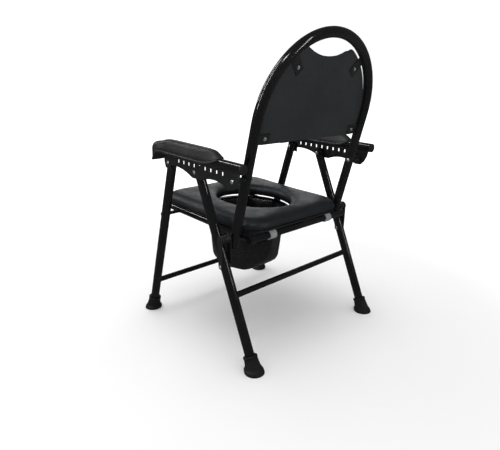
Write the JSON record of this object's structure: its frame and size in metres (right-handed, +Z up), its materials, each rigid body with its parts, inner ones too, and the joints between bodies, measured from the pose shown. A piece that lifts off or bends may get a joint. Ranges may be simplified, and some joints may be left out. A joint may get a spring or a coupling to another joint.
{
  "type": "commode chair",
  "caption": "Folding tubular commode chair with an arched back, padded armrests, a hinged padded seat with an oval opening and a removable pail.",
  "frame": {"origin": "centre of the footprint at floor level", "axes": "+X towards the sitter's left, -Y the way the sitter faces, +Z up"},
  "size_m": [0.5476, 0.5404, 0.817],
  "materials": {
    "frame_paint": "gloss black",
    "bracket_paint": "satin black",
    "bright_steel": "bright zinc",
    "foot_rubber": "matt",
    "pad_foam": "satin moulded foam skin",
    "vinyl": "satin grained vinyl",
    "back_panel": "flat satin",
    "board": "satin",
    "pail_plastic": "satin",
    "clip_plastic": "satin",
    "black_plastic": "satin"
  },
  "bodies": {
    "front_frame": {"front_leg_left": "frame_paint", "front_leg_right": "frame_paint", "front_crossbar": "frame_paint", "front_foot_left": "foot_rubber", "front_foot_right": "foot_rubber"},
    "seat_frame": {"seat_rail_left": "frame_paint", "seat_rail_right": "frame_paint", "seat_rear_tube": "frame_paint", "seat_front_strap": "frame_paint", "seat_rail_plugs": "black_plastic", "seat_front_bolts": "bright_steel", "seat_back_pins": "bright_steel", "pail_rail_left": "frame_paint", "pail_rail_right": "frame_paint", "pail_rail_hangers": "frame_paint"},
    "armrest_left": {"arm_tube_left": "frame_paint", "arm_bracket_left": "bracket_paint", "arm_pad_left": "pad_foam", "arm_rivets_left": "bright_steel", "arm_spacer_left": "frame_paint", "arm_cap_left": "black_plastic"},
    "armrest_right": {"arm_tube_right": "frame_paint", "arm_bracket_right": "bracket_paint", "arm_pad_right": "pad_foam", "arm_rivets_right": "bright_steel", "arm_spacer_right": "frame_paint", "arm_cap_right": "black_plastic"},
    "back_frame": {"back_hoop": "frame_paint", "back_hoop_plugs": "black_plastic", "back_board": "back_panel", "back_pad": "vinyl", "back_tabs": "bracket_paint", "back_screws": "bright_steel"},
    "rear_frame": {"rear_leg_left": "frame_paint", "rear_leg_right": "frame_paint", "rear_crossbar": "frame_paint", "rear_foot_left": "foot_rubber", "rear_foot_right": "foot_rubber", "link_rivets": "bright_steel"},
    "link_left": {"link_plates_left": "bracket_paint", "link_spool_left": "black_plastic", "link_pin_left": "black_plastic"},
    "link_right": {"link_plates_right": "bracket_paint", "link_spool_right": "black_plastic", "link_pin_right": "black_plastic"},
    "seat_cushion": {"seat_board": "board", "seat_pad": "vinyl", "seat_bumpers": "foot_rubber", "seat_clips": "clip_plastic", "seat_clip_screws": "bright_steel"},
    "pail": {"pail": "pail_plastic"}
  },
  "joints": [
    {"name": "fold", "type": "hinge", "parent": "front_frame", "child": "seat_frame", "pos_m": [0, -0.13665, 0.337], "axis": [-1, 0, 0], "range_deg": [0, 80]},
    {"name": "armrest_left_turn", "type": "hinge", "parent": "front_frame", "child": "armrest_left", "pos_m": [0.2365, -0.08718, 0.492], "axis": [-1, 0, 0], "range_deg": [0, 80]},
    {"name": "armrest_right_turn", "type": "hinge", "parent": "front_frame", "child": "armrest_right", "pos_m": [-0.2365, -0.08718, 0.492], "axis": [-1, 0, 0], "range_deg": [0, 80]},
    {"name": "back_turn", "type": "hinge", "parent": "seat_frame", "child": "back_frame", "pos_m": [0, 0.12525, 0.325], "axis": [1, 0, 0], "range_deg": [0, 80]},
    {"name": "rear_leg_turn", "type": "hinge", "parent": "armrest_left", "child": "rear_frame", "pos_m": [0.2365, 0.03069, 0.482], "axis": [1, 0, 0], "range_deg": [0, 42.7]},
    {"name": "link_left_turn", "type": "hinge", "parent": "rear_frame", "child": "link_left", "pos_m": [0.2365, 0.12602, 0.256], "axis": [-1, 0, 0], "range_deg": [0, 113.2]},
    {"name": "link_right_turn", "type": "hinge", "parent": "rear_frame", "child": "link_right", "pos_m": [-0.2365, 0.12602, 0.256], "axis": [-1, 0, 0], "range_deg": [0, 113.2]},
    {"name": "cushion_lift", "type": "hinge", "parent": "seat_frame", "child": "seat_cushion", "pos_m": [0, 0.16494, 0.32118], "axis": [1, 0, 0], "range_deg": [-70, 0]},
    {"name": "pail_slide", "type": "slide", "parent": "seat_frame", "child": "pail", "axis": [0, 0.999, -0.0458], "range_m": [-0.3, 0]}
  ],
  "couplings": [
    {"joint": "armrest_left_turn", "follows": "fold", "ratio": 1},
    {"joint": "armrest_right_turn", "follows": "fold", "ratio": 1},
    {"joint": "back_turn", "follows": "fold", "ratio": 1},
    {"joint": "rear_leg_turn", "follows": "fold", "ratio": 0.53373},
    {"joint": "link_left_turn", "follows": "fold", "ratio": 1.4143},
    {"joint": "link_right_turn", "follows": "fold", "ratio": 1.4143}
  ]
}
